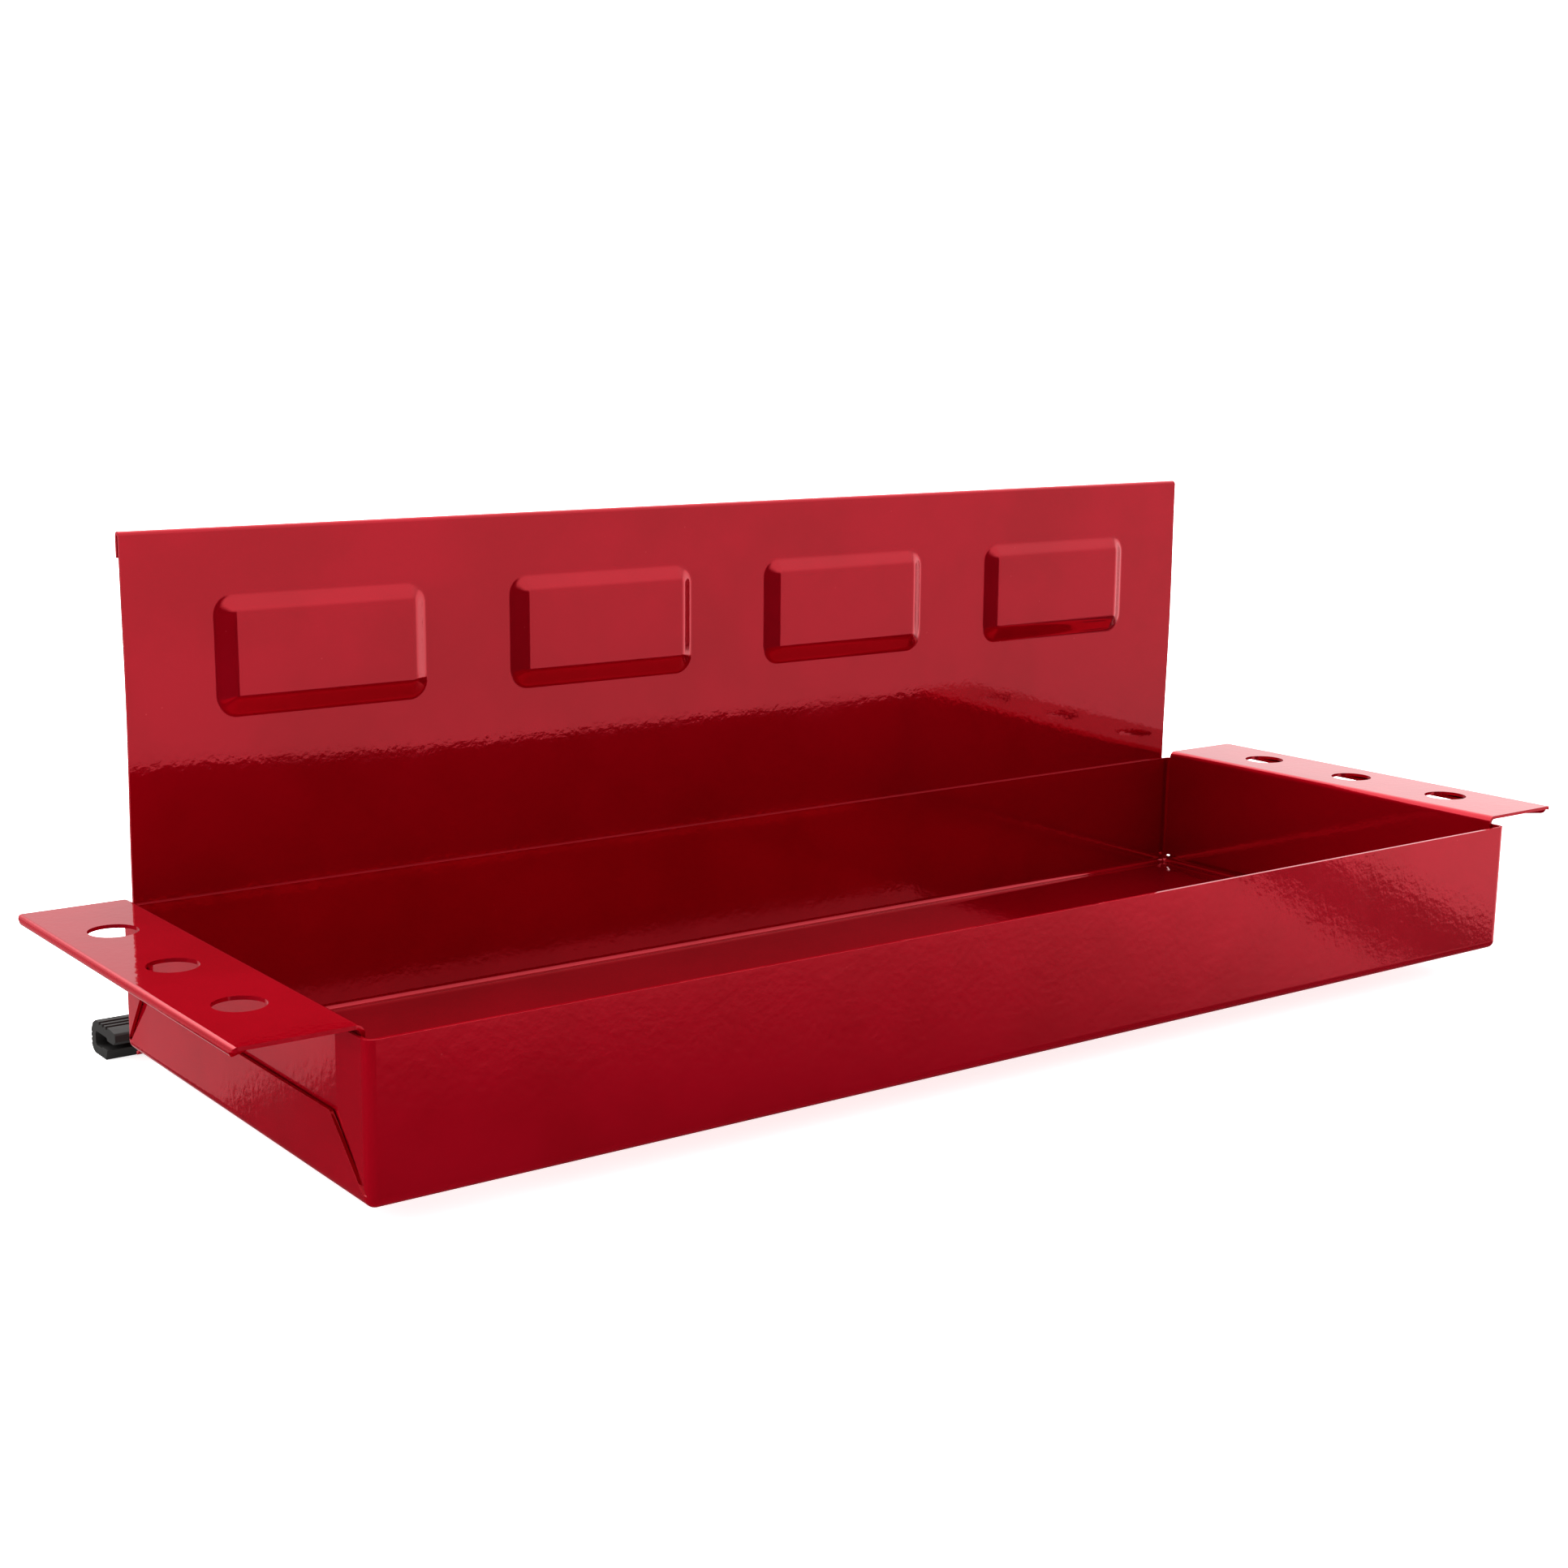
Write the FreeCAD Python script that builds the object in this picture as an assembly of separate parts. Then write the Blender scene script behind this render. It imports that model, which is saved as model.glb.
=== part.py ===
import FreeCAD, Part
import math
import os

# Magnetic tool tray: a folded sheet-steel pan with a taller back plate that
# carries four magnets, a drilled tool rail on each end, and a rubber strip
# pushed onto the back plate's lower flange.
#
# Millimetres. +X is along the tray, to the right as seen from its front.
# +Y points to the rear, towards the steel wall that the tray hangs on. +Z is up.
# The origin is the middle of the whole object's footprint, level with the
# underside of the rubber strip.

# ---- sheet metal
sheet = 1.0               # thickness of every sheet, with its paint
bend_radius = 2.5         # outside radius of the pan's and the plate's bends
hem_return = 7.0          # width of the leaf folded back at a hem
hem_thickness = 2.8       # over both leaves of a hem

# ---- tray pan
pan_length = 400.0
pan_depth = 142.0
pan_height = 39.5
pan_lift = 8.0            # the pan's underside above the rubber strip's underside
wall_flap_width = 14.6    # flaps folded from the front and rear walls
wall_flap_knee = 20.8     # height where such a flap's edge starts to slant
floor_flap_height = 18.4  # the flap folded up from the floor
floor_flap_inset = 18.6   # its top corners, from the pan's front and rear faces
slot_foot = 3.2           # height of the foot of the slots between the flaps
slot_foot_wall = 1.4      # foot of the slot, on the wall flap's side
slot_foot_floor = 3.4     # foot of the slot, on the floor flap's side

# ---- tool rails
rail_length = 135.0
rail_front_gap = 4.5      # rail's front end behind the pan's front face
rail_top = 42.0           # rail's upper face above the pan's underside
rail_reach = 29.5         # how far the rail stands out past the pan
rail_bend_radius = 2.2
rail_leg_foot = 4.0       # lower edge of the rail's upright leg
rail_corner_radius = 3.0
hole_radius = 6.5
hole_reach = 14.6         # holes' centres from the pan's side face
hole_pitch = 38.2
holes_per_rail = 3

# ---- back plate
plate_length = 393.0
plate_top = 139.5         # upper edge above the pan's underside
flange_reach = 22.5       # from the plate's front face to the flange's rear edge
flange_end_gap = 6.0      # flange stops short of each end of the plate
pocket_count = 4
pocket_pitch = 92.3
pocket_height = 105.0     # pockets' centres above the pan's underside
pocket_size = (66.0, 34.5)
pocket_depth = 2.5
pocket_slope = 4.0        # width of the slanted rim round a pocket
pocket_corner = 5.5

# ---- magnets
magnet_size = (56.0, 4.5, 24.5)
magnet_edge = 0.6         # chamfer on the magnet's edges
cover_thickness = 0.5     # soft pad on a magnet's rear face

# ---- rubber strip
strip_front = 151.0       # strip's front lip behind the pan's front face
strip_depth = 18.2
strip_height = 9.8
strip_arm = 3.0           # thickness of the lower arm
groove_width = 1.3        # grooves along the top
groove_depth = 0.9
groove_places = (6.4, 8.9, 11.5)
rib_pitch = 1.3           # fine ribs on the rear and the underside
rib_groove_radius = 0.4
rear_ribs = (4, 2.2)      # how many grooves, and the height of the lowest
underside_ribs = (6, 8.4)  # how many grooves, and the first one's distance from the lip

# ---- derived
front_y = -(strip_front + strip_depth) / 2
side_x = pan_length / 2
plate_front_y = front_y + pan_depth
plate_rear_y = plate_front_y + sheet
strip_y = front_y + strip_front
hem_bend = hem_thickness / 2 - sheet
hem_run = hem_return - hem_thickness / 2
flange_top = strip_arm + hem_thickness
past = 1.0                # how far a cutting tool runs past the metal
touch = 0.01              # closer than this counts as touching

os.makedirs("parts", exist_ok=True)


def export(shape, name):
    shape.exportStep("parts/" + name + ".step")


def box(low, high):
    size = [b - a for a, b in zip(low, high)]
    return Part.makeBox(size[0], size[1], size[2], FreeCAD.Vector(*low))


def polygon_face(corners):
    return Part.Face(Part.makePolygon(corners + corners[:1]))


# The cross-section of one folded sheet. The path follows one face of it, and
# the metal lies to the left of the path. moves holds ("run", length) and
# ("bend", degrees, inside radius), where a positive bend turns to the left.
def folded_section(start, heading, moves, place):
    near, far = [], []
    u, v = start
    angle = math.radians(heading)
    for move in moves:
        left_u, left_v = -math.sin(angle), math.cos(angle)
        if move[0] == "run":
            end_u = u + move[1] * math.cos(angle)
            end_v = v + move[1] * math.sin(angle)
            near.append(Part.LineSegment(place(u, v), place(end_u, end_v)))
            far.append(Part.LineSegment(place(u + left_u * sheet, v + left_v * sheet),
                                        place(end_u + left_u * sheet, end_v + left_v * sheet)))
            u, v = end_u, end_v
            continue
        turn = math.radians(move[1])
        side = 1 if turn > 0 else -1
        near_radius = move[2] + sheet if turn > 0 else move[2]
        far_radius = move[2] if turn > 0 else move[2] + sheet
        centre_u = u + side * left_u * near_radius
        centre_v = v + side * left_v * near_radius

        def on_arc(radius, share):
            a = angle - side * math.pi / 2 + turn * share
            return centre_u + radius * math.cos(a), centre_v + radius * math.sin(a)

        for curves, radius in ((near, near_radius), (far, far_radius)):
            ends = [place(*on_arc(radius, share)) for share in (0, 0.5, 1)]
            curves.append(Part.Arc(*ends))
        u, v = on_arc(near_radius, 1)
        angle += turn
    caps = [Part.LineSegment(near[0].StartPoint, far[0].StartPoint),
            Part.LineSegment(near[-1].EndPoint, far[-1].EndPoint)]
    edges = [curve.toShape() for curve in near + far + caps]
    return Part.Face(Part.Wire(Part.__sortEdges__(edges)))


# ---- tray pan
# One blank: floor, front and rear walls, and on each end a low flap from the
# floor between two flaps from the walls, parted by slanted slots.
def tub(inset, height, radius):
    low = (-side_x + inset, front_y + inset, pan_lift + inset)
    high = (side_x - inset, plate_front_y - inset, pan_lift + height)
    block = box(low, high)
    rounded = [edge for edge in block.Edges if edge.BoundBox.ZMin < high[2] - touch]
    return block.makeFillet(radius, rounded)


def end_window(side):
    outline = [(wall_flap_width, pan_height + past), (wall_flap_width, wall_flap_knee),
               (slot_foot_wall, slot_foot), (slot_foot_floor, slot_foot),
               (floor_flap_inset, floor_flap_height)]
    x = side * (side_x - sheet / 2) - sheet
    corners = [FreeCAD.Vector(x, front_y + y, pan_lift + z) for y, z in outline]
    corners += [FreeCAD.Vector(x, plate_front_y - y, pan_lift + z) for y, z in outline[::-1]]
    return polygon_face(corners).extrude(FreeCAD.Vector(2 * sheet, 0, 0))


tray_pan = tub(0, pan_height, bend_radius)
tray_pan = tray_pan.cut(tub(sheet, pan_height + past, bend_radius - sheet))
for side in (-1, 1):
    tray_pan = tray_pan.cut(end_window(side))
export(tray_pan, "tray_pan")


# ---- tool rails
# The upright leg stands inside the pan's end flaps. The rail folds outwards
# over them, ends in a hem, and has a row of holes for screwdrivers.
def tool_rail(side):
    y_front = front_y + rail_front_gap

    def place(out, up):
        return FreeCAD.Vector(side * (side_x + out), y_front, up)

    leg = rail_top - rail_bend_radius - rail_leg_foot
    flat = rail_reach - hem_thickness / 2 - (rail_bend_radius - 2 * sheet)
    moves = [("run", leg), ("bend", -90, rail_bend_radius - sheet), ("run", flat),
             ("bend", -180, hem_bend), ("run", hem_run)]
    section = folded_section((-sheet, pan_lift + rail_leg_foot), 90, moves, place)
    rail = section.extrude(FreeCAD.Vector(0, rail_length, 0))

    tip = side * (side_x + rail_reach)
    outline = box((min(0, tip), y_front, 0),
                  (max(0, tip), y_front + rail_length, pan_lift + rail_top + past))
    corners = [edge for edge in outline.Edges
               if abs(edge.CenterOfMass.x - tip) < touch and edge.BoundBox.ZLength > sheet]
    rail = rail.common(outline.makeFillet(rail_corner_radius, corners))

    for i in range(holes_per_rail):
        y = y_front + rail_length / 2 + (i - (holes_per_rail - 1) / 2) * hole_pitch
        foot = FreeCAD.Vector(side * (side_x + hole_reach), y, pan_lift + rail_top - sheet - past)
        rail = rail.cut(Part.makeCylinder(hole_radius, sheet + 2 * past, foot))
    return rail


export(tool_rail(-1), "left_tool_rail")
export(tool_rail(1), "right_tool_rail")


# ---- back plate
# From the lower flange's hem, forward, up the plate and into the top hem.
def side_plane(y, z):
    return FreeCAD.Vector(-plate_length / 2, y, z)


def rounded_outline(size, radius, centre, y):
    block = Part.makeBox(size[0], past, size[1],
                         FreeCAD.Vector(centre[0] - size[0] / 2, y, centre[1] - size[1] / 2))
    along_y = [edge for edge in block.Edges if edge.BoundBox.YLength > past / 2]
    block = block.makeFillet(radius, along_y)
    return min(block.Faces, key=lambda face: face.BoundBox.YMax).OuterWire


def pocket_form(centre, y):
    small = [size - 2 * pocket_slope for size in pocket_size]
    rim = rounded_outline(pocket_size, pocket_corner, centre, y)
    floor = rounded_outline(small, pocket_corner - pocket_slope, centre, y - pocket_depth)
    return Part.makeLoft([rim, floor], True)


flange_run = flange_reach - sheet - (bend_radius - sheet) - hem_thickness / 2
plate_run = pan_lift + plate_top - hem_thickness / 2 - (flange_top + bend_radius - sheet)
plate_moves = [("run", hem_run), ("bend", 180, hem_bend), ("run", flange_run),
               ("bend", -90, bend_radius - sheet), ("run", plate_run),
               ("bend", -180, hem_bend), ("run", hem_run)]
hem_start = (plate_front_y + flange_reach - hem_return, strip_arm)
back_plate = folded_section(hem_start, 0, plate_moves, side_plane)
back_plate = back_plate.extrude(FreeCAD.Vector(plate_length, 0, 0))

pocket_centres = [((i - (pocket_count - 1) / 2) * pocket_pitch, pan_lift + pocket_height)
                  for i in range(pocket_count)]
for centre in pocket_centres:
    back_plate = back_plate.fuse(pocket_form(centre, plate_front_y))
for centre in pocket_centres:
    back_plate = back_plate.cut(pocket_form(centre, plate_rear_y))
for side in (-1, 1):
    end = side * plate_length / 2
    corner = sorted((end - side * flange_end_gap, end + side * past))
    back_plate = back_plate.cut(box((corner[0], plate_front_y + bend_radius, -past),
                                    (corner[1], plate_front_y + flange_reach + past, flange_top + past)))
back_plate = back_plate.removeSplitter()
export(back_plate, "back_plate")


# ---- magnets
# A flat ferrite block in each pocket, and a soft pad on its rear face that
# touches the steel wall.
pocket_floor_y = plate_rear_y - pocket_depth
cover_y = pocket_floor_y + magnet_size[1]
for i, (x, z) in enumerate(pocket_centres):
    low = (x - magnet_size[0] / 2, pocket_floor_y, z - magnet_size[2] / 2)
    high = (x + magnet_size[0] / 2, cover_y, z + magnet_size[2] / 2)
    block = box(low, high)
    along_y = [edge for edge in block.Edges if edge.BoundBox.YLength > magnet_edge]
    export(block.makeChamfer(magnet_edge, along_y), "magnet_%d" % (i + 1))
    cover = box((low[0], cover_y, low[2]), (high[0], cover_y + cover_thickness, high[2]))
    along_y = [edge for edge in cover.Edges if edge.BoundBox.YLength > cover_thickness / 2]
    export(cover.makeFillet(2 * magnet_edge, along_y), "magnet_cover_%d" % (i + 1))

# ---- rubber strip
# A C-shaped profile, open to the front, that grips the flange's hem between
# its hooked upper lip and its lower arm. Corners run from the lip's front,
# over the top, down the rear, forward underneath and through the inside.
strip_profile = [(0.0, 6.9), (0.0, 8.8), (0.6, 9.3), (4.6, strip_height),
                 (14.6, strip_height), (16.8, 8.6), (strip_depth, 6.2), (strip_depth, 2.0),
                 (17.0, 0.6), (15.6, 0.0), (7.4, 0.0), (6.2, strip_arm),
                 (10.0, strip_arm), (10.8, 2.5), (14.2, 2.5), (14.9, 3.2),
                 (14.9, flange_top), (14.2, 6.6), (6.6, 6.6), (6.0, flange_top),
                 (1.5, flange_top)]


def along_tray(u, v, radius):
    centre = FreeCAD.Vector(-side_x - past, strip_y + u, v)
    return Part.makeCylinder(radius, pan_length + 2 * past, centre, FreeCAD.Vector(1, 0, 0))


strip = polygon_face([FreeCAD.Vector(-side_x, strip_y + u, v) for u, v in strip_profile])
strip = strip.extrude(FreeCAD.Vector(pan_length, 0, 0))
for u in groove_places:
    strip = strip.cut(box((-side_x - past, strip_y + u - groove_width / 2,
                           strip_height - groove_depth),
                          (side_x + past, strip_y + u + groove_width / 2, strip_height + past)))
for i in range(rear_ribs[0]):
    strip = strip.cut(along_tray(strip_depth, rear_ribs[1] + i * rib_pitch, rib_groove_radius))
for i in range(underside_ribs[0]):
    strip = strip.cut(along_tray(underside_ribs[1] + i * rib_pitch, 0.0, rib_groove_radius))
export(strip, "rubber_edge_strip")
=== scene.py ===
import math
import bmesh
import bpy
from mathutils import Matrix, Vector


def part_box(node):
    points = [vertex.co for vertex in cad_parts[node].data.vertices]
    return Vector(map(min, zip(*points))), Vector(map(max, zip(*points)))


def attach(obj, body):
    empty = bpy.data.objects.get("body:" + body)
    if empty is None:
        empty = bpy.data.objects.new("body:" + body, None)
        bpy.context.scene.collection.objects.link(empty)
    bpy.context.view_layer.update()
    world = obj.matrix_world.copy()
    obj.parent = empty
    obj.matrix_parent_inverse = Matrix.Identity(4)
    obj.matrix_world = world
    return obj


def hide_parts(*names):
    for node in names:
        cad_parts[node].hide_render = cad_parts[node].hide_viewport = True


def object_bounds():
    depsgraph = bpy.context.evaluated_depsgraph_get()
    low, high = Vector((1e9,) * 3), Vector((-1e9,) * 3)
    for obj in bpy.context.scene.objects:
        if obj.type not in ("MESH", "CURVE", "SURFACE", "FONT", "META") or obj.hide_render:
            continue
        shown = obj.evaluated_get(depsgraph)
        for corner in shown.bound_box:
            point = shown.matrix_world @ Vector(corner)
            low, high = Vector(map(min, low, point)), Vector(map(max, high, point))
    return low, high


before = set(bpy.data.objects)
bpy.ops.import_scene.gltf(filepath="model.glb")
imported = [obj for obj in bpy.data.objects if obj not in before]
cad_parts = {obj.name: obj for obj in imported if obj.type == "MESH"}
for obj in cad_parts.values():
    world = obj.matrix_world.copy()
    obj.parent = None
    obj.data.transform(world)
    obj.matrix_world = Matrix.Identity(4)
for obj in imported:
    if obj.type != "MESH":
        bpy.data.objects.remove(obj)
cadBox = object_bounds()
mm = 0.001
print("frame loaded:", len(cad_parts), "parts")


# ---- shader maths: a wrapped socket works in plain expressions
class Wire:
    def __init__(self, graph, socket):
        self.graph, self.socket = graph, socket

    def maths(self, operation, first, second):
        return self.graph.add("ShaderNodeMath", {"operation": operation}, {0: first, 1: second})

    def __add__(self, other):
        return self.maths("ADD", self, other)

    def __radd__(self, other):
        return self.maths("ADD", other, self)

    def __sub__(self, other):
        return self.maths("SUBTRACT", self, other)

    def __rsub__(self, other):
        return self.maths("SUBTRACT", other, self)

    def __mul__(self, other):
        return self.maths("MULTIPLY", self, other)

    def __rmul__(self, other):
        return self.maths("MULTIPLY", other, self)

    def __gt__(self, other):
        return self.maths("GREATER_THAN", self, other)


class Graph:
    def __init__(self, owner):
        owner.use_nodes = True
        self.tree = owner.node_tree
        self.tree.nodes.clear()

    # kind of node, then its settings, then the value or link of each socket
    def add(self, kind, settings=None, sockets=None, out=0):
        node = self.tree.nodes.new(kind)
        for name, value in (settings or {}).items():
            setattr(node, name, value)
        for name, value in (sockets or {}).items():
            if isinstance(value, Wire):
                self.tree.links.new(value.socket, node.inputs[name])
            else:
                node.inputs[name].default_value = value
        return Wire(self, node.outputs[out]) if node.outputs else None

    def noise(self, place, scale, detail, roughness):
        return self.add("ShaderNodeTexNoise", {"noise_dimensions": "3D"},
                        {"Vector": place, "Scale": scale, "Detail": detail, "Roughness": roughness})

    def blend(self, share, first, second):
        return self.add("ShaderNodeMix", {"data_type": "RGBA"}, {0: share, 6: first, 7: second}, out=2)

    # from 0 to 1, smoothly, as the value goes from low to high
    def rise(self, value, low, high):
        return self.add("ShaderNodeMapRange", {"interpolation_type": "SMOOTHSTEP"},
                        {0: value, 1: low, 2: high, 3: 0.0, 4: 1.0})


def newMaterial(name):
    material = bpy.data.materials.new(name)
    return material, Graph(material)


# ---- red powder coat
redPaint = {
    "colour": (0.39, 0.0008, 0.0140, 1),
    "deepColour": (0.35, 0.0005, 0.0110, 1),
    "speckColour": (0.60, 0.08, 0.09, 1),
    "metallic": 0.55,       # a translucent red over bright metal
    "specular": 0.85,
    "roughness": 0.05,
    "smudge": 0.035,        # how much rougher handled patches are
    "peelSize": 1.9 * mm,   # from one bump of the orange peel to the next
    "peelHeight": 0.019 * mm,
    "waveSize": 11 * mm,    # slow swells in the coat
    "waveHeight": 0.022 * mm,
    "driftScale": 28.0,     # where the red is a little deeper
    "driftEdge": (0.35, 0.7),
    "dustScale": 230.0,     # pale specks of dust under the coat
    "dustEdge": (0.03, 0.07),
    "dustPatchScale": 60.0,
    "dustPatchFrom": 0.61,
    "dustShare": 0.35,
    "smudgeScale": 22.0,
    "smudgeEdge": (0.48, 0.72),
}


def makeRedPaint(look):
    material, g = newMaterial("redPowderCoat")
    place = g.add("ShaderNodeTexCoord", out=3)
    peel = g.noise(place, 1 / look["peelSize"], 2.0, 0.5)
    wave = g.noise(place, 1 / look["waveSize"], 1.0, 0.4)
    height = peel * look["peelHeight"] + wave * look["waveHeight"]
    bump = g.add("ShaderNodeBump", None, {"Strength": 1.0, "Distance": 1.0, "Height": height})
    drift = g.rise(g.noise(place, look["driftScale"], 3.0, 0.6), *look["driftEdge"])
    colour = g.blend(drift, look["colour"], look["deepColour"])
    dust = g.add("ShaderNodeTexVoronoi", {"feature": "F1"},
                 {"Vector": place, "Scale": look["dustScale"], "Randomness": 1.0})
    dusty = g.noise(place, look["dustPatchScale"], 2.0, 0.7) > look["dustPatchFrom"]
    speck = (1 - g.rise(dust, *look["dustEdge"])) * dusty
    colour = g.blend(speck * look["dustShare"], colour, look["speckColour"])
    smudge = g.rise(g.noise(place, look["smudgeScale"], 4.0, 0.62), *look["smudgeEdge"])
    g.add("ShaderNodeOutputMaterial", None, {"Surface": g.add("ShaderNodeBsdfPrincipled", None, {
        "Base Color": colour,
        "Metallic": look["metallic"],
        "Roughness": look["roughness"] + smudge * look["smudge"],
        "IOR": 1.5,
        "Specular IOR Level": look["specular"],
        "Normal": bump})})
    return material


# ---- black rubber, smooth from the die on its sides and dull where it was cut
rubber = {
    "colour": (0.010, 0.010, 0.011, 1),
    "bloom": (0.020, 0.019, 0.020, 1),
    "cutColour": (0.022, 0.021, 0.020, 1),
    "roughness": 0.34,
    "cutRoughness": 0.72,
    "grain": 0.5 * mm,
    "cutGrain": 0.25 * mm,
    "poreHeight": 0.02 * mm,
    "streakScale": 2600.0,
    "streakStretch": (0.06, 1.0, 1.0),   # drawn out along the extrusion
    "streakHeight": 0.008 * mm,
    "patchScale": 90.0,
    "patchEdge": (0.4, 0.75),
}


def makeRubber(name, colour, bloom, roughness, grain):
    material, g = newMaterial(name)
    place = g.add("ShaderNodeTexCoord", out=3)
    along = g.add("ShaderNodeMapping", None, {"Vector": place, "Scale": rubber["streakStretch"]})
    streak = g.noise(along, rubber["streakScale"], 3.0, 0.6)
    pores = g.noise(place, 1.0 / grain, 3.0, 0.65)
    patch = g.rise(g.noise(place, rubber["patchScale"], 4.0, 0.6), *rubber["patchEdge"])
    height = pores * rubber["poreHeight"] + streak * rubber["streakHeight"]
    bump = g.add("ShaderNodeBump", None, {"Strength": 0.8, "Distance": 1.0, "Height": height})
    g.add("ShaderNodeOutputMaterial", None, {"Surface": g.add("ShaderNodeBsdfPrincipled", None, {
        "Base Color": g.blend(patch, colour, bloom),
        "Roughness": roughness + (streak - 0.5) * 0.25 + patch * 0.08,
        "IOR": 1.5,
        "Normal": bump})})
    return material


# ---- sintered magnet
magnetStone = {
    "colour": (0.045, 0.045, 0.050, 1),
    "paleColour": (0.090, 0.088, 0.092, 1),
    "roughness": 0.46,
    "metallic": 0.25,
    "grainScale": 1700.0,
    "grainHeight": 0.03 * mm,
    "grindScale": 1500.0,
    "grindStretch": (0.05, 1, 1),   # marks of the wheel that ground the faces
    "grindHeight": 0.01 * mm,
    "blotchScale": 110.0,
    "blotchEdge": (0.35, 0.7),
}


def makeFerrite(look):
    material, g = newMaterial("sinteredFerrite")
    place = g.add("ShaderNodeTexCoord", out=3)
    grain = g.noise(place, look["grainScale"], 4.0, 0.7)
    along = g.add("ShaderNodeMapping", None, {"Vector": place, "Scale": look["grindStretch"]})
    grind = g.noise(along, look["grindScale"], 2.0, 0.6)
    blotch = g.rise(g.noise(place, look["blotchScale"], 5.0, 0.65), *look["blotchEdge"])
    height = grain * look["grainHeight"] + grind * look["grindHeight"]
    bump = g.add("ShaderNodeBump", None, {"Strength": 0.7, "Distance": 1.0, "Height": height})
    g.add("ShaderNodeOutputMaterial", None, {"Surface": g.add("ShaderNodeBsdfPrincipled", None, {
        "Base Color": g.blend(blotch, look["colour"], look["paleColour"]),
        "Roughness": look["roughness"] + grain * 0.2,
        "Metallic": look["metallic"],
        "Normal": bump})})
    return material


# ---- leatherette pad glued on a magnet
leatherette = {
    "colour": (0.012, 0.012, 0.013, 1),
    "rubbedColour": (0.020, 0.019, 0.020, 1),
    "roughness": 0.62,
    "cellScale": 900.0,     # the embossed grain
    "cellEdge": (0.0, 0.25),
    "cellHeight": 0.05 * mm,
    "rubScale": 70.0,
    "rubEdge": (0.5, 0.75),
}


def makeCoverVinyl(look):
    material, g = newMaterial("magnetCoverVinyl")
    place = g.add("ShaderNodeTexCoord", out=3)
    cells = g.add("ShaderNodeTexVoronoi", {"feature": "DISTANCE_TO_EDGE"},
                  {"Vector": place, "Scale": look["cellScale"]})
    height = g.rise(cells, *look["cellEdge"]) * look["cellHeight"]
    rub = g.rise(g.noise(place, look["rubScale"], 4.0, 0.6), *look["rubEdge"])
    bump = g.add("ShaderNodeBump", None, {"Strength": 0.8, "Distance": 1.0, "Height": height})
    g.add("ShaderNodeOutputMaterial", None, {"Surface": g.add("ShaderNodeBsdfPrincipled", None, {
        "Base Color": g.blend(rub, look["colour"], look["rubbedColour"]),
        "Roughness": look["roughness"] - rub * 0.2,
        "Normal": bump})})
    return material


paint = makeRedPaint(redPaint)
rubberSide = makeRubber("blackRubber", rubber["colour"], rubber["bloom"],
                        rubber["roughness"], rubber["grain"])
rubberCut = makeRubber("cutRubber", rubber["cutColour"], rubber["cutColour"],
                       rubber["cutRoughness"], rubber["cutGrain"])
ferrite = makeFerrite(magnetStone)
coverVinyl = makeCoverVinyl(leatherette)
print("materials made")


# ---- sheet metal
sheetMetal = {
    "thickness": 1.0 * mm,
    "edgeRound": 0.42 * mm,   # the coat draws every cut edge round
    "hemThickness": 2.8 * mm,
    "hemReturn": 7.0 * mm,
    "bendSteps": 8,
}
half = sheetMetal["thickness"] / 2
hemRadius = sheetMetal["hemThickness"] / 2 - half   # at the middle of the sheet
past = 2 * mm   # how far a cutter stands out of the metal


# the middle line of a folded sheet: ("run", length) or ("bend", degrees, radius), left turns positive
def foldPath(start, heading, moves):
    u, v = start
    angle = math.radians(heading)
    points = [(u, v)]
    for move in moves:
        if move[0] == "run":
            u, v = u + move[1] * math.cos(angle), v + move[1] * math.sin(angle)
            points.append((u, v))
            continue
        turn, radius = math.radians(move[1]), move[2]
        side = 1 if turn > 0 else -1
        centreU = u - side * math.sin(angle) * radius
        centreV = v + side * math.cos(angle) * radius
        steps = sheetMetal["bendSteps"] * (2 if abs(move[1]) > 120 else 1)
        for i in range(1, steps + 1):
            a = angle - side * math.pi / 2 + turn * i / steps
            points.append((centreU + radius * math.cos(a), centreV + radius * math.sin(a)))
        u, v = points[-1]
        angle += turn
    return points


def gridMesh(name, rows, columns, place):
    bm = bmesh.new()
    grid = [[bm.verts.new(place(row, column)) for column in columns] for row in rows]
    for a, b in zip(grid, grid[1:]):
        for i in range(len(columns) - 1):
            bm.faces.new((a[i], a[i + 1], b[i + 1], b[i]))
    return toMesh(bm, name)


def toMesh(bm, name):
    bmesh.ops.recalc_face_normals(bm, faces=bm.faces)
    for face in bm.faces:
        face.smooth = True
    mesh = bpy.data.meshes.new(name)
    bm.to_mesh(mesh)
    bm.free()
    return mesh


def addObject(name, mesh):
    thing = bpy.data.objects.new(name, mesh)
    bpy.context.scene.collection.objects.link(thing)
    return thing


# runs the modifiers and keeps what they give as the mesh
def settle(thing):
    mesh = bpy.data.meshes.new_from_object(thing.evaluated_get(bpy.context.evaluated_depsgraph_get()))
    thing.modifiers.clear()
    thing.data = mesh


def thicken(thing, offset=0.0):
    solid = thing.modifiers.new("sheet", "SOLIDIFY")
    solid.thickness, solid.offset = sheetMetal["thickness"], offset
    solid.use_even_offset = True


def cutWith(thing, cutters, operation="DIFFERENCE"):
    for cutter in cutters:
        knife = thing.modifiers.new("cut", "BOOLEAN")
        knife.object, knife.operation, knife.solver = cutter, operation, "EXACT"
    settle(thing)
    for cutter in cutters:
        bpy.data.objects.remove(cutter)


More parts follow.
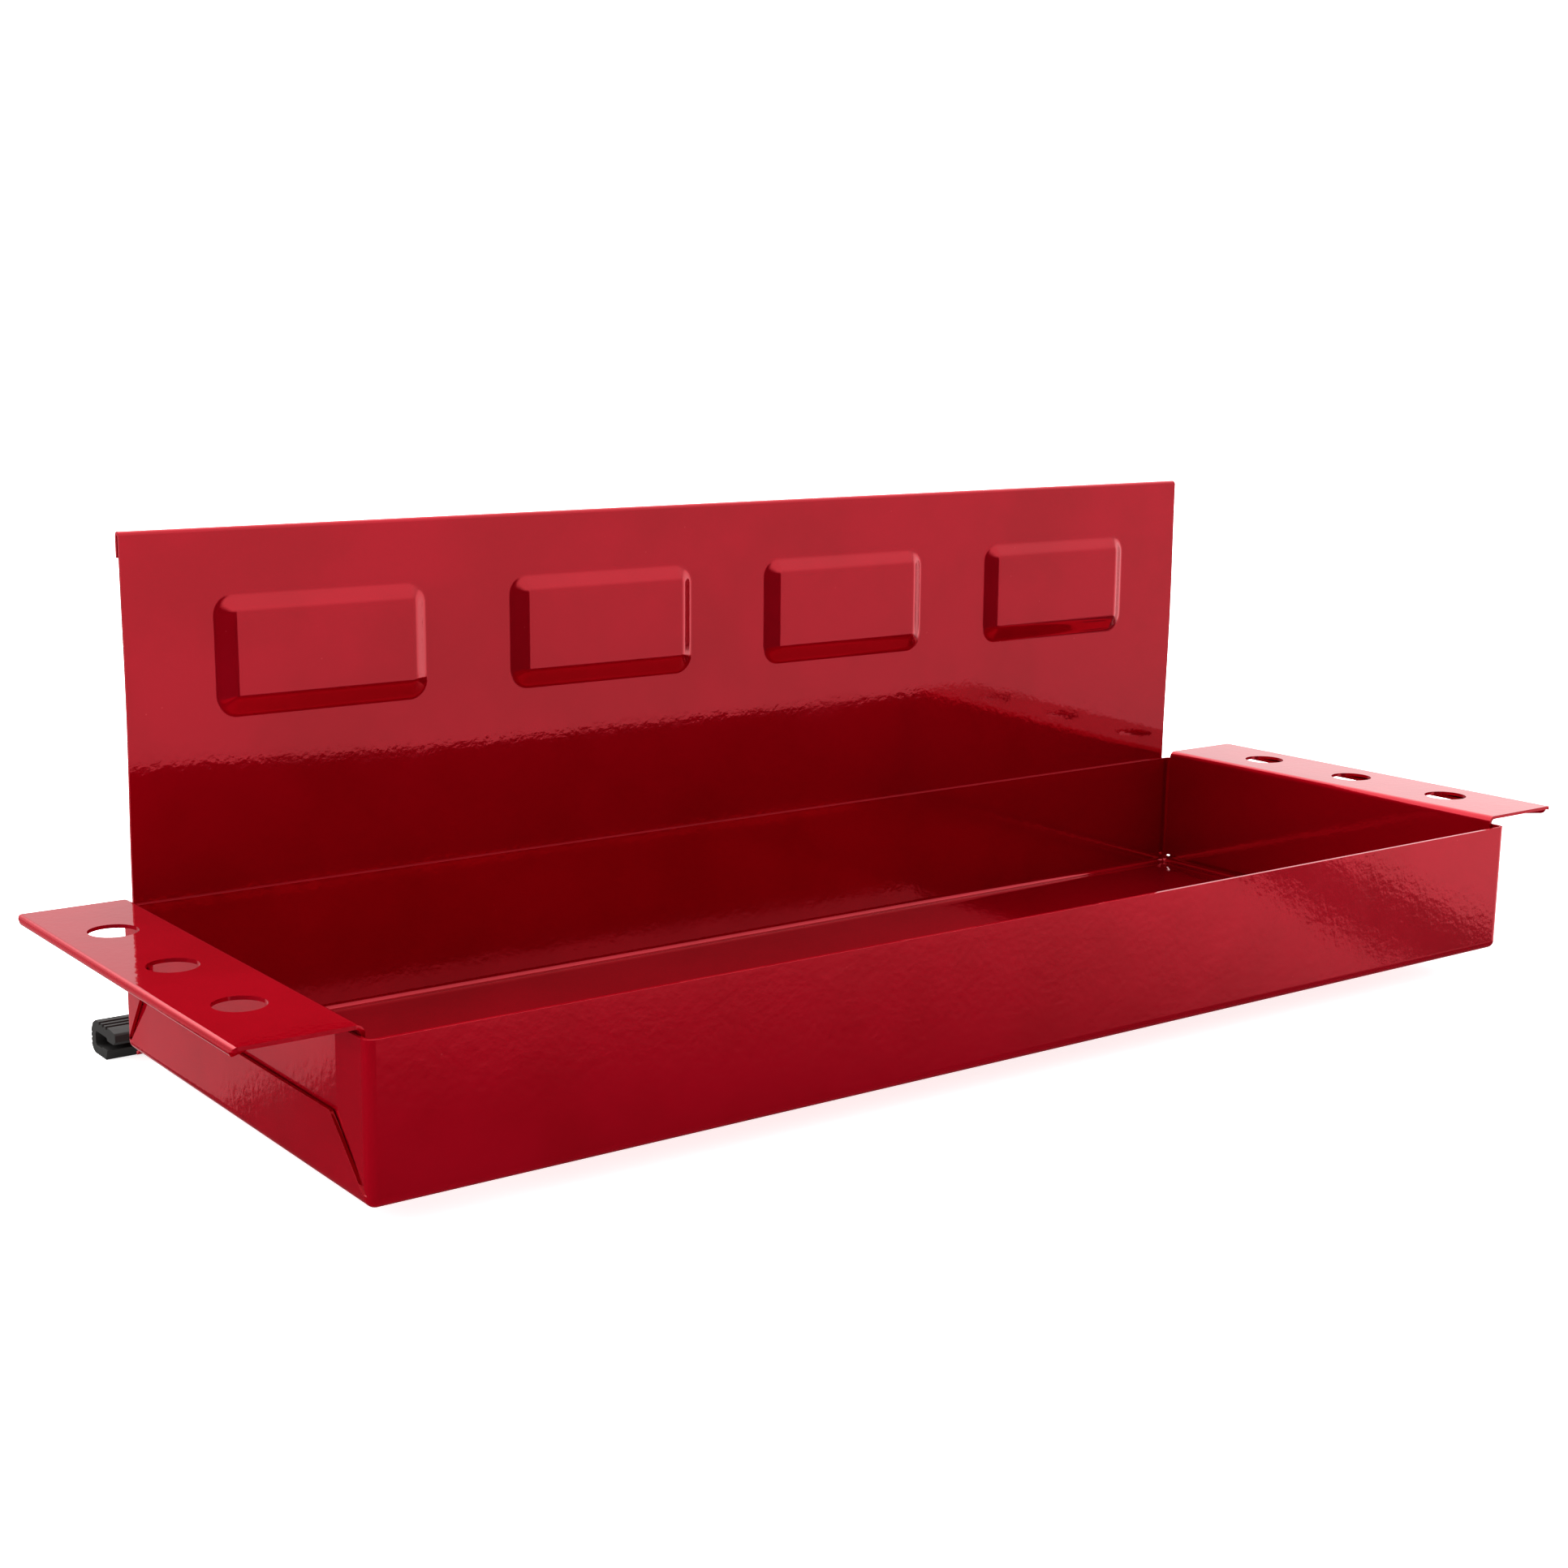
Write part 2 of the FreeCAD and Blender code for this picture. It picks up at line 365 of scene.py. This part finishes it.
def roundEdges(thing, width, steps=3, angle=50):
    bevel = thing.modifiers.new("round", "BEVEL")
    bevel.limit_method, bevel.angle_limit = "ANGLE", math.radians(angle)
    bevel.width, bevel.segments = width, steps
    bevel.use_clamp_overlap = True
    thing.modifiers.new("shade", "WEIGHTED_NORMAL").weight = 80
    for face in thing.data.polygons:
        face.use_smooth = True
    settle(thing)


def prism(name, outline, along):
    bm = bmesh.new()
    face = bm.faces.new([bm.verts.new(p) for p in outline])
    moved = bmesh.ops.extrude_face_region(bm, geom=[face])["geom"]
    bmesh.ops.translate(bm, vec=along, verts=[v for v in moved if isinstance(v, bmesh.types.BMVert)])
    return addObject(name, toMesh(bm, name))


def keep(thing, nodes, materials):
    thing.data.materials.clear()
    for material in materials:
        thing.data.materials.append(material)
    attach(thing, "root")
    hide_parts(*nodes)


# ---- tray pan
pan = {
    "bendRadius": 2.5 * mm,
    "wallFlapWidth": 14.6 * mm,
    "wallFlapKnee": 20.8 * mm,
    "floorFlapHeight": 18.4 * mm,
    "floorFlapInset": 18.6 * mm,
    "slotFoot": 3.0 * mm,
    "slotFootWall": 1.5 * mm,
    "slotFootFloor": 3.2 * mm,
    "cell": 14 * mm,          # mesh spacing on the flats
    "flatStart": 3.0 * mm,    # from a face of the pan to the first line across a flat
    "frontBow": 0.6 * mm,     # the long front edge springs outwards a little
    "frontZone": (1 * mm, 8 * mm),   # the bow fades out this far behind the front face
    "wallFlapSpring": 0.45 * mm,   # the free edges of the corner flaps stand out too
    "floorFlapSpring": 0.30 * mm,
}


def makePan():
    low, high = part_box("tray_pan")
    bm = bmesh.new()
    bmesh.ops.create_cube(bm, size=1.0)
    for v in bm.verts:
        for k in range(3):
            v.co[k] = high[k] if v.co[k] > 0 else low[k]
    top = [f for f in bm.faces if all(v.co.z > high.z - mm for v in f.verts)]
    bmesh.ops.delete(bm, geom=top, context="FACES_ONLY")
    folds = [e for e in bm.edges if min(v.co.z for v in e.verts) < low.z + mm]
    bmesh.ops.bevel(bm, geom=folds, offset=pan["bendRadius"], offset_type="OFFSET",
                    segments=sheetMetal["bendSteps"], profile=0.5, affect="EDGES", clamp_overlap=True)
    for k, normal in enumerate(((1, 0, 0), (0, 1, 0), (0, 0, 1))):
        inner = high[k] - low[k] - 2 * pan["flatStart"]
        count = round(inner / pan["cell"])
        for i in range(count + 1):
            spot = [0, 0, 0]
            spot[k] = low[k] + pan["flatStart"] + inner * i / count
            bmesh.ops.bisect_plane(bm, geom=bm.verts[:] + bm.edges[:] + bm.faces[:],
                                   plane_co=spot, plane_no=normal, dist=1e-7)
    tray = addObject("trayPan", toMesh(bm, "trayPan"))
    thicken(tray, -1.0)

    # the open window over each low flap, with the slots at its sides
    windows = []
    above = high.z - low.z + 5 * mm
    edge = [(pan["wallFlapWidth"], above), (pan["wallFlapWidth"], pan["wallFlapKnee"]),
            (pan["slotFootWall"], pan["slotFoot"]), (pan["slotFootFloor"], pan["slotFoot"]),
            (pan["floorFlapInset"], pan["floorFlapHeight"])]
    for x in (low.x - past, high.x - past):
        outline = [(x, low.y + y, low.z + z) for y, z in edge]
        outline += [(x, high.y - y, low.z + z) for y, z in edge[::-1]]
        windows.append(prism("window", outline, (2 * past, 0, 0)))
    cutWith(tray, windows)
    roundEdges(tray, sheetMetal["edgeRound"])

    # spring in the panels
    slotLean = ((pan["wallFlapWidth"] + 2 * mm - pan["slotFootFloor"])
                / (pan["wallFlapKnee"] - pan["slotFoot"]))
    near, away = pan["frontZone"]
    for v in tray.data.vertices:
        up = max(0.0, (v.co.z - low.z) / (high.z - low.z))
        ahead = max(0.0, min(1.0, (low.y + away - v.co.y) / (away - near)))
        middle = math.cos(math.pi * v.co.x / (high.x - low.x)) ** 2
        v.co.y -= pan["frontBow"] * up ** 1.5 * ahead * middle
        if high.x - abs(v.co.x) < 1.2 * sheetMetal["thickness"]:
            fromEnd = min(v.co.y - low.y, high.y - v.co.y)
            slot = pan["slotFootFloor"] + (v.co.z - low.z - pan["slotFoot"]) * slotLean
            if fromEnd < slot:
                push = pan["wallFlapSpring"] * fromEnd / pan["wallFlapWidth"]
            else:
                push = pan["floorFlapSpring"] * (v.co.z - low.z) / pan["floorFlapHeight"]
            v.co.x += math.copysign(max(0.0, push), v.co.x)
    keep(tray, ["tray_pan"], [paint])
    return tray


trayPan = makePan()
print("tray pan made:", len(trayPan.data.polygons), "faces")

# ---- tool rails
rail = {
    "bendRadius": 2.2 * mm,   # outside
    "cornerRadius": 1.4 * mm,
    "hemMitre": 6.5 * mm,     # the turned-under leaf is cut back at its ends
    "mitreFoot": 1.2 * mm,    # and a little at its fold
    "mitreDepth": 4 * mm,
    "cornerSteps": 8,
    "holeRadius": 6.5 * mm,
    "holeReach": 14.6 * mm,   # from the pan's side
    "holePitch": 38.2 * mm,
    "holeSteps": 56,
}


def makeRail(name, node, side):
    low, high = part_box(node)
    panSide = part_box("tray_pan")[1].x
    inner, tip = (-high.x, -low.x) if side < 0 else (low.x, high.x)
    bend = rail["bendRadius"] - half
    moves = [("run", high.z - low.z - rail["bendRadius"]), ("bend", -90, bend),
             ("run", tip - half - hemRadius - (inner + half + bend)), ("bend", -180, hemRadius),
             ("run", sheetMetal["hemReturn"] - half - hemRadius)]
    path = foldPath((inner + half, low.z), 90, moves)
    piece = addObject(name, gridMesh(name, path, (low.y, high.y),
                                     lambda p, y: (side * p[0], y, p[1])))
    thicken(piece)

    # rounded corners, seen from above
    corner, steps = rail["cornerRadius"], rail["cornerSteps"]
    turns = [math.pi / 2 * i / steps for i in range(steps + 1)]
    outline = [(0, low.y), (side * (tip - corner), low.y)]
    outline += [(side * (tip - corner + corner * math.sin(a)), low.y + corner - corner * math.cos(a))
                for a in turns[1:]]
    outline += [(side * (tip - corner + corner * math.cos(a)), high.y - corner + corner * math.sin(a))
                for a in turns]
    outline += [(0, high.y)]
    plan = prism("plan", [(x, y, low.z - mm) for x, y in outline], (0, 0, high.z - low.z + 2 * mm))
    cutWith(piece, [plan], "INTERSECT")

    cutters = []
    leafTop = high.z - sheetMetal["thickness"] - 0.3 * mm
    reach = sheetMetal["hemReturn"] + mm
    for y, inwards in ((low.y, 1), (high.y, -1)):
        mitre = [(tip + mm, y - inwards * mm), (tip - reach, y - inwards * mm),
                 (tip - reach, y + inwards * rail["hemMitre"]),
                 (tip + mm, y + inwards * rail["mitreFoot"])]
        cutters.append(prism("mitre", [(side * a, b, leafTop) for a, b in mitre],
                             (0, 0, -rail["mitreDepth"])))
    turns = [2 * math.pi * i / rail["holeSteps"] for i in range(rail["holeSteps"])]
    for i in (-1, 0, 1):
        centre = Vector((side * (panSide + rail["holeReach"]),
                         (low.y + high.y) / 2 + i * rail["holePitch"], high.z - past))
        circle = [centre + rail["holeRadius"] * Vector((math.cos(a), math.sin(a), 0)) for a in turns]
        cutters.append(prism("hole", circle, (0, 0, 2 * past)))
    cutWith(piece, cutters)
    roundEdges(piece, sheetMetal["edgeRound"])
    keep(piece, [node], [paint])


makeRail("leftToolRail", "left_tool_rail", -1)
makeRail("rightToolRail", "right_tool_rail", 1)
print("tool rails made")

# ---- back plate
plate = {
    "bendRadius": 2.5 * mm,
    "flangeReach": 22.5 * mm,
    "flangeEndGap": 6.0 * mm,   # the flange stops short of the ends of the panel
    "flangeCutTop": 8.0 * mm,   # upper end of that cut, over the foot
    "pockets": 4,               # one over each magnet
    "pocketSize": (66.0 * mm, 34.5 * mm),
    "pocketDepth": 2.5 * mm,
    "pocketSlope": 6.6 * mm,
    "pocketCorner": 6.6 * mm,
    "slopeRounding": 0.32,   # share of the slope that each of its rounded ends takes
    "rimCell": 0.45 * mm,
    "flatCell": 7.0 * mm,
    "springBow": 0.5 * mm,   # the panel springs forwards between the tray and its top hem
    "endBow": 0.55 * mm,     # and a little more at its free left end
    "endBowZone": (-190 * mm, -110 * mm),
    "bowFoot": 6 * mm,       # lower end of the bow, over the tray
}


# grid lines that are close together in the rims of the pockets
def gridLines(start, end, rims):
    lines = [start]
    while lines[-1] < end - 1e-6:
        here = lines[-1]
        inRim = any(a - 1e-7 <= here < b - 1e-7 for a, b in rims)
        ahead = [b if inRim else a for a, b in rims if (b if inRim else a) > here + 1e-7]
        stop = min(ahead + [end])
        step = plate["rimCell"] if inRim else plate["flatCell"]
        count = max(1, math.ceil((stop - here) / step))
        lines += [here + (stop - here) * (i + 1) / count for i in range(count)]
    return lines


# the two zones, along one axis, where a pocket rises
def pocketRims(centre, size):
    start, end = centre - size / 2, centre + size / 2
    return [(start, start + plate["pocketCorner"]), (end - plate["pocketCorner"], end)]


# how far into a pocket a point is, from 0 on the flat plate to 1 on the raised face
def pocketShare(x, z, centres):
    best = 0.0
    for cx, cz in centres:
        dx = abs(x - cx) - plate["pocketSize"][0] / 2 + plate["pocketCorner"]
        dz = abs(z - cz) - plate["pocketSize"][1] / 2 + plate["pocketCorner"]
        out = math.hypot(max(dx, 0), max(dz, 0)) + min(max(dx, dz), 0)
        t = max(0.0, min(1.0, (plate["pocketCorner"] - out) / plate["pocketSlope"]))
        soft = plate["slopeRounding"]
        top = 1 / (1 - soft)
        if t < soft:
            rise = top * t * t / (2 * soft)
        elif t > 1 - soft:
            rise = 1 - top * (1 - t) ** 2 / (2 * soft)
        else:
            rise = top * (t - soft / 2)
        best = max(best, rise)
    return best


def makePlate():
    low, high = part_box("back_plate")
    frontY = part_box("tray_pan")[1].y
    centres = []
    for i in range(1, plate["pockets"] + 1):
        a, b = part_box("magnet_%d" % i)
        centres.append(((a.x + b.x) / 2, (a.z + b.z) / 2))
    bend = plate["bendRadius"] - half
    flangeZ = low.z + sheetMetal["hemThickness"] - half
    flangeRun = plate["flangeReach"] - half - bend - half - hemRadius
    uprightStart = flangeZ + bend
    uprightEnd = high.z - half - hemRadius
    foot = [("run", sheetMetal["hemReturn"] - half - hemRadius), ("bend", 180, hemRadius),
            ("run", flangeRun), ("bend", -90, bend)]
    start = (frontY + plate["flangeReach"] - sheetMetal["hemReturn"], low.z + half)
    path = foldPath(start, 0, foot)
    uprightY = path[-1][0]
    rimsX = [rim for cx, cz in centres for rim in pocketRims(cx, plate["pocketSize"][0])]
    rimsZ = pocketRims(centres[0][1], plate["pocketSize"][1])
    path += [(uprightY, z) for z in gridLines(uprightStart, uprightEnd, rimsZ)[1:]]
    hem = foldPath(path[-1], 90, [("bend", -180, hemRadius),
                                  ("run", sheetMetal["hemReturn"] - half - hemRadius)])
    path += hem[1:]
    lines = gridLines(low.x, high.x, rimsX)

    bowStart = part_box("tray_pan")[1].z + plate["bowFoot"]
    endStart, endStop = plate["endBowZone"]

    def place(p, x):
        onPlate = abs(p[0] - uprightY) < 1e-6 and uprightStart < p[1] < uprightEnd
        push = plate["pocketDepth"] * pocketShare(x, p[1], centres) if onPlate else 0.0
        up = (p[1] - bowStart) / (high.z - bowStart)
        if up > 0:
            free = max(0.0, min(1.0, (endStop - x) / (endStop - endStart)))
            bow = plate["springBow"] + plate["endBow"] * free
            push += bow * (1 - math.cos(2 * math.pi * up)) / 2
        return (x, p[0] - push, p[1])

    piece = addObject("backPlate", gridMesh("backPlate", path, lines, place))
    thicken(piece)
    settle(piece)
    corners = []
    bottom, top = low.z - mm, low.z + plate["flangeCutTop"]
    front, rear = frontY + plate["bendRadius"], high.y + mm
    for end, inwards in ((low.x, 1), (high.x, -1)):
        x = end - inwards * mm
        outline = [(x, front, bottom), (x, rear, bottom), (x, rear, top), (x, front, top)]
        corners.append(prism("corner", outline, (inwards * (plate["flangeEndGap"] + mm), 0, 0)))
    cutWith(piece, corners)
    roundEdges(piece, sheetMetal["edgeRound"], angle=60)
    keep(piece, ["back_plate"], [paint])
    return piece


backPlate = makePlate()
print("back plate made:", len(backPlate.data.polygons), "faces")

# ---- rubber edge strip
strip = {
    "profile": [(0.0, 6.9), (0.0, 8.8), (0.6, 9.3), (4.6, 9.8), (14.6, 9.8), (16.8, 8.6),
                (18.2, 6.2), (18.2, 2.0), (17.0, 0.6), (15.6, 0.0), (7.4, 0.0), (6.2, 3.0),
                (10.0, 3.0), (10.8, 2.5), (14.2, 2.5), (14.9, 3.2), (14.9, 5.8), (14.2, 6.6),
                (6.6, 6.6), (6.0, 5.8), (1.5, 5.8)],   # (from the lip, up) in mm
    "grooves": (6.4, 8.9, 11.5),
    "grooveWidth": 1.3,
    "grooveFloor": 0.7,      # of the groove's width
    "grooveDepth": 0.9,
    "ribPitch": 1.3,
    "ribDepth": 0.38,
    "ribGroove": ((-0.33, 0), (-0.15, 1), (0.15, 1), (0.33, 0)),   # along, and share of the depth
    "edgeRound": 0.14 * mm,
    "cutZone": 0.2 * mm,     # faces this close to an end are the cut rubber
}


def makeStrip():
    low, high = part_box("rubber_edge_strip")
    outline = []
    corners = strip["profile"]
    rear = max(u for u, v in corners)
    top = max(v for u, v in corners)
    for (u, v), (nextU, nextV) in zip(corners, corners[1:] + corners[:1]):
        outline.append((u, v))
        if v == top and nextV == top:
            w = strip["grooveWidth"] / 2
            floor = w * strip["grooveFloor"]
            for g in strip["grooves"]:
                outline += [(g - w, v), (g - floor, v - strip["grooveDepth"]),
                            (g + floor, v - strip["grooveDepth"]), (g + w, v)]
        if (u == rear and nextU == rear) or (v == 0 and nextV == 0):      # ribbed
            length = math.hypot(nextU - u, nextV - v)
            along = ((nextU - u) / length, (nextV - v) / length)
            count = int(length / strip["ribPitch"])
            for i in range(count):
                for offset, depth in strip["ribGroove"]:
                    s = (i + 0.5) * length / count + offset
                    outline.append((u + along[0] * s + along[1] * depth * strip["ribDepth"],
                                    v + along[1] * s - along[0] * depth * strip["ribDepth"]))
    face = [(low.x, low.y + u * mm, low.z + v * mm) for u, v in outline]
    piece = prism("rubberEdgeStrip", face, (high.x - low.x, 0, 0))
    roundEdges(piece, strip["edgeRound"], steps=2, angle=28)
    keep(piece, ["rubber_edge_strip"], [rubberSide, rubberCut])
    for face in piece.data.polygons:
        inside = [min(v - low.x, high.x - v) for v in
                  (piece.data.vertices[i].co.x for i in face.vertices)]
        face.material_index = 1 if max(inside) < strip["cutZone"] else 0


makeStrip()
print("edge strip made")


# ---- magnets and their covers
magnets = {
    "count": 4,
    "magnetCorner": 0.6 * mm,    # round the four edges from front to rear
    "magnetEdge": 0.25 * mm,     # round the others
    "coverCorner": 1.2 * mm,
    "coverEdge": 0.15 * mm,
}


def makeBlock(name, node, material, corner, edge):
    low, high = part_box(node)
    bm = bmesh.new()
    bmesh.ops.create_cube(bm, size=1.0)
    for v in bm.verts:
        for k in range(3):
            v.co[k] = high[k] if v.co[k] > 0 else low[k]
    upright = [e for e in bm.edges if abs(e.verts[0].co.y - e.verts[1].co.y) > 1e-5]
    bmesh.ops.bevel(bm, geom=upright, offset=corner, segments=5, profile=0.5, affect="EDGES")
    piece = addObject(name, toMesh(bm, name))
    roundEdges(piece, edge, steps=2, angle=40)
    keep(piece, [node], [material])


for i in range(1, magnets["count"] + 1):
    makeBlock("magnet%d" % i, "magnet_%d" % i, ferrite,
              magnets["magnetCorner"], magnets["magnetEdge"])
    makeBlock("magnetCover%d" % i, "magnet_cover_%d" % i, coverVinyl,
              magnets["coverCorner"], magnets["coverEdge"])
print("magnets made")

# ---- floor, light and camera
studio = {
    "floorSize": 12.0,
    "floorDrop": 0.2 * mm,       # the floor's distance under the tray
    "floorColour": (0.80, 0.80, 0.80, 1),
    "floorGlow": 0.85,           # lifts the floor to the same white as the room
    "lamps": {
        "backLight": {"place": (-0.1, 1.1, 1.5), "aim": (0, 0, 0), "size": (4.0, 2.0), "power": 50.0},
        "leftFill": {"place": (-1.3, 0.05, 0.10), "aim": (0, 0, 0.04), "size": (1.0, 0.25), "power": 8.0},
    },
}

# brightness of the room in each direction, which the paint mirrors
room = {
    "frontLeft": 0.04,           # the dark side
    "frontRight": 0.88,
    "frontEdge": (0.14, 0.30),   # where the one turns into the other, along x
    "right": 1.6,                # straight to the right, which the right slopes of the pockets catch
    "rightEdge": (0.84, 0.94),
    "behindEdge": (-0.10, 0.25),     # along y
    "back": 0.78,
    "backRight": 1.50,
    "backRightEdge": (0.55, 0.95),
    "under": 0.42,               # behind the tray and under the horizon
    "horizonLean": 0.6,          # the horizon is lower towards the right
    "horizonEdge": (-0.06, 0.04),
    "above": 1.25,
    "aboveEdge": (0.30, 0.62),   # along z
    "overhead": 2.0,             # behind and above, which the cut edges catch
    "overheadEdge": (0.34, 0.50),
    "overheadBack": (-0.3, 0.2),
    "below": 0.08,
    "lowEdge": (0.21, 0.34),     # downwards, in front of the tray
    "belowEdge": (0.5, 0.65),    # downwards, all round
    "tableLean": -0.43,          # the edge of the dark table behind the tray, which its sides mirror
    "tableEdge": (0.490, 0.496),
    "stand": (0.367, 0.104, 0.925),   # square to a dark stand that leans across the light at the right
    "standLeft": (-0.019, -0.012),
    "standRight": (0.009, 0.016),
    "standEnd": (0.68, 0.72),
    "standShare": 0.75,
}


def makeFloor():
    floor = addObject("floor", bpy.data.meshes.new("floor"))
    reach = studio["floorSize"] / 2
    ground = cadBox[0].z - studio["floorDrop"]
    corners = [(-reach, -reach), (reach, -reach), (reach, reach), (-reach, reach)]
    floor.data.from_pydata([(x, y, ground) for x, y in corners], [], [(0, 1, 2, 3)])
    material, g = newMaterial("paleFloor")
    g.add("ShaderNodeOutputMaterial", None, {"Surface": g.add("ShaderNodeBsdfPrincipled", None, {
        "Base Color": studio["floorColour"],
        "Roughness": 0.9,
        "Specular IOR Level": 0.1,
        "Emission Color": studio["floorColour"],
        "Emission Strength": studio["floorGlow"]})})
    floor.data.materials.append(material)
    floor.visible_glossy = False      # the paint mirrors the room, not the floor


def makeRoom():
    world = bpy.data.worlds.new("room")
    bpy.context.scene.world = world
    g = Graph(world)
    direction = g.add("ShaderNodeTexCoord", out=0)
    split = g.add("ShaderNodeSeparateXYZ", None, {0: direction})
    x, y, z = [Wire(g, s) for s in split.socket.node.outputs]
    front = room["frontLeft"] + g.rise(x, *room["frontEdge"]) * (room["frontRight"] - room["frontLeft"])
    front = front + g.rise(x, *room["rightEdge"]) * (room["right"] - front)
    behind = g.rise(y, *room["behindEdge"])
    back = room["back"] + g.rise(x, *room["backRightEdge"]) * (room["backRight"] - room["back"])
    horizon = g.rise(z + room["horizonLean"] * x, *room["horizonEdge"])
    level = front + behind * (room["under"] + horizon * (back - room["under"]) - front)
    level = level + g.rise(z, *room["aboveEdge"]) * (room["above"] - level)
    overhead = g.rise(z, *room["overheadEdge"]) * g.rise(y, *room["overheadBack"])
    level = level + overhead * (room["overhead"] - level)
    low = (1 - behind) * g.rise(0 - z, *room["lowEdge"])
    level = level + low * (room["below"] - level)
    # the stand shows near the end of the front wall
    across = room["stand"][0] * x + room["stand"][1] * y + room["stand"][2] * z
    stand = g.rise(across, *room["standLeft"]) * (1 - g.rise(across, *room["standRight"]))
    stand = stand * g.rise(x, *room["standEnd"]) * (1 - behind)
    level = level * (1 - room["standShare"] * stand)
    table = behind * g.rise(room["tableLean"] * x - z, *room["tableEdge"])
    level = level + table * (room["below"] - level)
    level = level + g.rise(0 - z, *room["belowEdge"]) * (room["below"] - level)
    camera = g.add("ShaderNodeLightPath", out="Is Camera Ray")
    level = level + camera * (1.0 - level)
    g.add("ShaderNodeOutputWorld", None, {"Surface": g.add("ShaderNodeBackground", None, {
        "Color": (1, 1, 1, 1), "Strength": level})})


def makeLamp(name, place, aim, size, power):
    lamp = bpy.data.lights.new(name, "AREA")
    lamp.shape = "RECTANGLE"
    lamp.size, lamp.size_y = size
    lamp.energy = power
    thing = addObject(name, lamp)
    thing.location = place
    thing.rotation_euler = (Vector(aim) - Vector(place)).to_track_quat("-Z", "Y").to_euler()
    thing.visible_glossy = False      # the room alone is mirrored


view = {
    "eye": (-419.1 * mm, -515.0 * mm, 200.6 * mm),
    "turn": 34.28,      # degrees to the right of straight ahead
    "tilt": 11.29,      # down
    "roll": 0.23,
    "lens": 52.67,
    "sensor": 36.0,
    "shiftX": 0.0859,
}


def makeCamera():
    camera = bpy.data.cameras.new("camera")
    camera.lens = view["lens"]
    camera.sensor_width = view["sensor"]
    camera.shift_x = view["shiftX"]
    thing = addObject("camera", camera)
    thing.matrix_world = (Matrix.Translation(view["eye"])
                          @ Matrix.Rotation(math.radians(-view["turn"]), 4, "Z")
                          @ Matrix.Rotation(math.radians(90 - view["tilt"]), 4, "X")
                          @ Matrix.Rotation(math.radians(view["roll"]), 4, "Z"))
    bpy.context.scene.camera = thing


makeFloor()
makeRoom()
for name, lamp in studio["lamps"].items():
    makeLamp(name, lamp["place"], lamp["aim"], lamp["size"], lamp["power"])
makeCamera()
bpy.context.scene.view_settings.view_transform = "Standard"
bpy.context.scene.view_settings.look = "Medium High Contrast"
print("floor, light and camera set")
